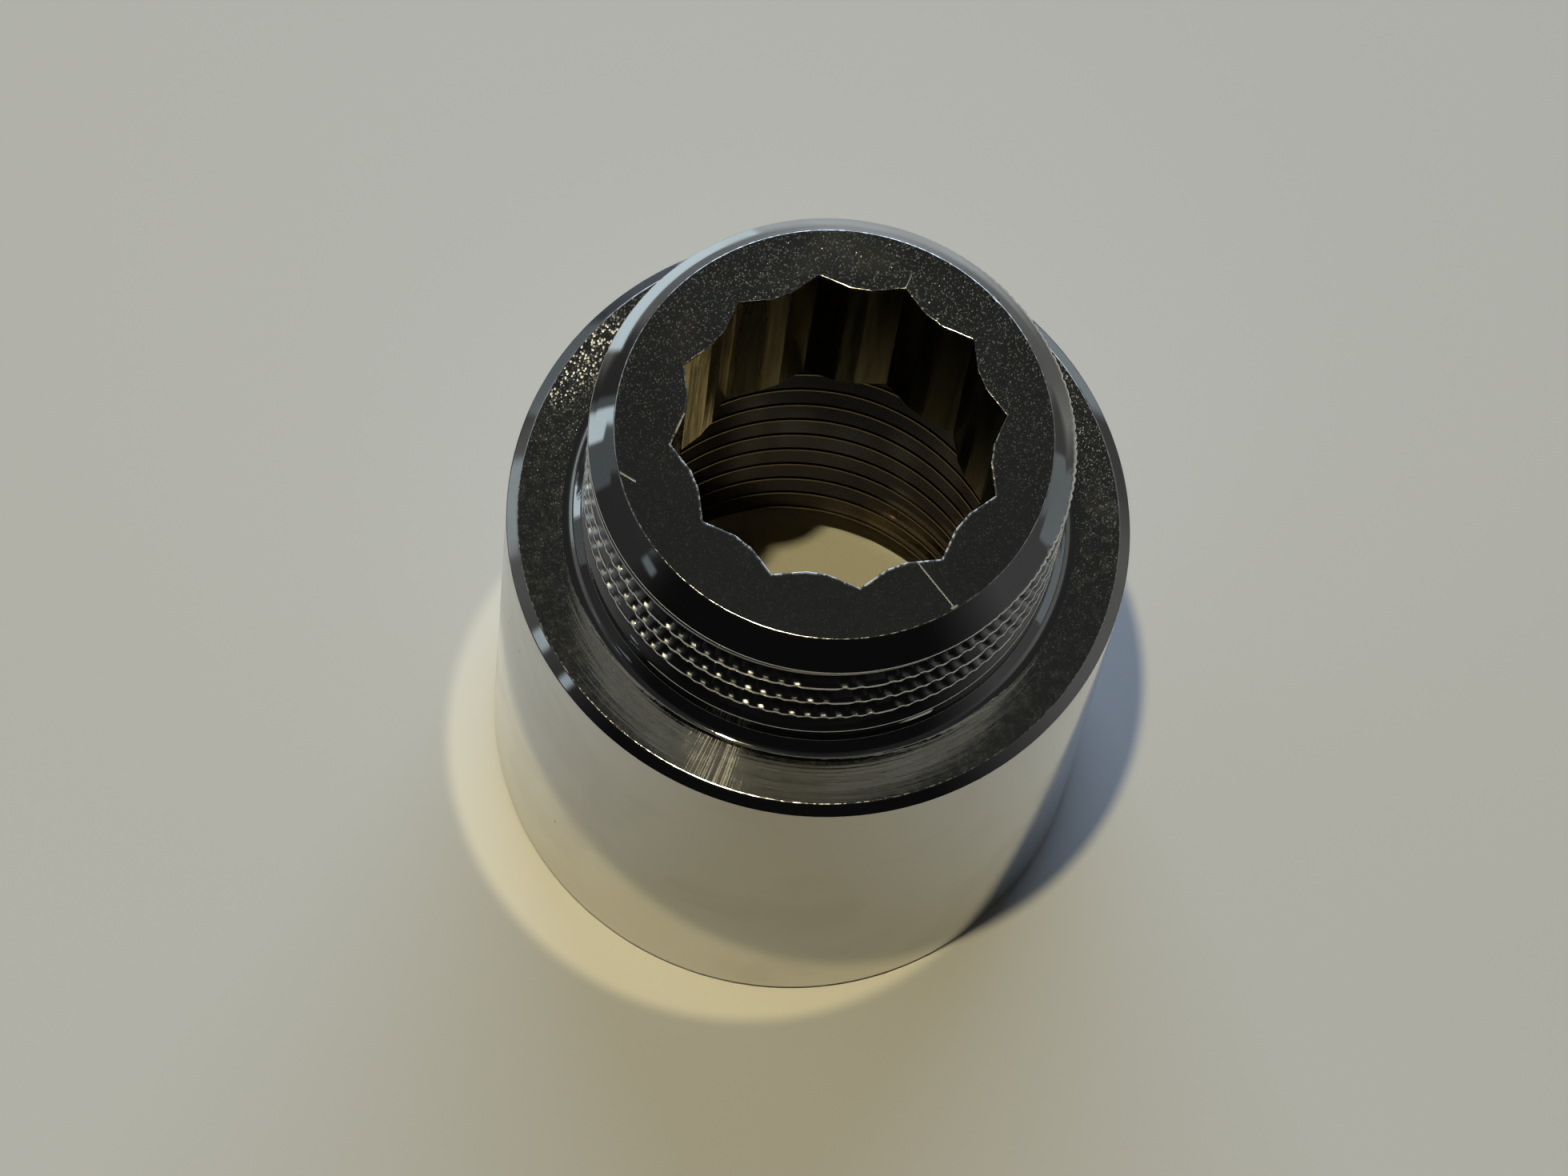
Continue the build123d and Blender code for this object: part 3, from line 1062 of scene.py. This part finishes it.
class EXTENDER_OT_stage(Operator):
    """Makes the floor, the lights and the camera"""

    bl_idname = "extender.stage"
    bl_label = "Stage"
    bl_options = {"REGISTER", "UNDO"}

    def execute(self, context):
        stage = context.scene.extender_stage
        context.scene.view_settings.view_transform = "Standard"
        self.make_floor(stage, context.scene.extender_sizes.body_radius)
        self.make_lights(stage)
        self.make_screen(stage)
        self.make_camera(context, stage)
        return {"FINISHED"}

    def make_floor(self, stage, body_radius):
        """A flat disc: rings that grow with the square of their number."""
        turns = 2 * pi * np.arange(97) / 96
        radius = stage.floor_radius * (np.arange(13)[::-1, None] / 12) ** 2
        mesh = mesh_from_strips("floor", [(ring(turns, radius, 0.0), 0, 0.0)], radians(30))
        floor = link("floor", mesh)
        mesh.materials.append(floor_material(stage, body_radius))

    def make_lights(self, stage):
        """A small warm lamp overhead, a wide cool window behind and a weak one on the left."""
        overhead = direction(stage.lamp_azimuth, stage.lamp_elevation) * stage.lamp_distance
        back = direction(radians(95), radians(17)) * 2.4
        left = direction(radians(172), radians(20)) * 1.2
        warm, cool = stage.lamp_colour, stage.window_colour
        area_lamp("warm_lamp", overhead, stage.lamp_size, stage.lamp_power, warm)
        area_lamp("back_window", back, 2.7, stage.back_power, cool, "RECTANGLE", 0.85)
        area_lamp("left_window", left, 0.9, stage.left_power, cool, "RECTANGLE", 0.7)
        make_world()

    def make_screen(self, stage):
        """A round glowing screen that only mirrored rays meet, from the floor up: painted reflections
        for the metal.
        """
        turns = 2 * pi * np.arange(145) / 144
        rows = np.array([[0.0], [stage.screen_height]])
        points = ring(turns, stage.screen_radius, rows)
        mesh = mesh_from_strips("screen", [(points, 0, 0.0)], radians(30))
        screen = link("screen", mesh)
        mesh.materials.append(screen_material(stage))
        screen.visible_camera = False
        screen.visible_diffuse = False
        screen.visible_shadow = False

    def make_camera(self, context, stage):
        """The camera looks along +Y, is tilted down, panned and then rolled about its line of sight."""
        tilt, pan, roll = stage.camera_tilt, stage.camera_pan, stage.camera_roll
        ahead = Vector((0, cos(tilt), -sin(tilt)))
        side = Vector((1, 0, 0))
        up = side.cross(ahead)
        ahead, side = ahead * cos(pan) + side * sin(pan), side * cos(pan) - ahead * sin(pan)
        side, up = side * cos(roll) + up * sin(roll), up * cos(roll) - side * sin(roll)
        data = bpy.data.cameras.new("camera")
        data.lens = stage.camera_lens
        data.clip_start = 0.01
        camera = link("camera", data)
        turn = Matrix((side, up, -ahead)).transposed()
        camera.matrix_world = Matrix.Translation(stage.camera_place) @ turn.to_4x4()
        context.scene.camera = camera


class EXTENDER_PT_panel(Panel):
    """Lists the operators and their settings"""

    bl_idname = "EXTENDER_PT_panel"
    bl_label = "Tap extender"
    bl_space_type = "VIEW_3D"
    bl_region_type = "UI"
    bl_category = "Tap extender"

    def draw(self, context):
        for operator, settings in (
            (EXTENDER_OT_tap_extender, (context.scene.extender_sizes, context.scene.extender_finishes)),
            (EXTENDER_OT_stage, (context.scene.extender_stage,)),
        ):
            self.layout.operator(operator.bl_idname)
            for group_of in settings:
                for name in group_of.__annotations__:
                    self.layout.prop(group_of, name)


CLASSES = (
    ExtenderSizes,
    ExtenderFinishes,
    ExtenderStage,
    EXTENDER_OT_tap_extender,
    EXTENDER_OT_stage,
    EXTENDER_PT_panel,
)


def register():
    """Registers the classes and hangs the settings on the scene."""
    for item in CLASSES:
        bpy.utils.register_class(item)
    bpy.types.Scene.extender_sizes = PointerProperty(type=ExtenderSizes)
    bpy.types.Scene.extender_finishes = PointerProperty(type=ExtenderFinishes)
    bpy.types.Scene.extender_stage = PointerProperty(type=ExtenderStage)


def unregister():
    """Takes the settings and the classes away again."""
    del bpy.types.Scene.extender_stage
    del bpy.types.Scene.extender_finishes
    del bpy.types.Scene.extender_sizes
    for item in reversed(CLASSES):
        bpy.utils.unregister_class(item)


def main():
    """Builds the extender and its stage."""
    register()
    bpy.ops.extender.tap_extender()
    bpy.ops.extender.stage()


if __name__ == "__main__":
    main()
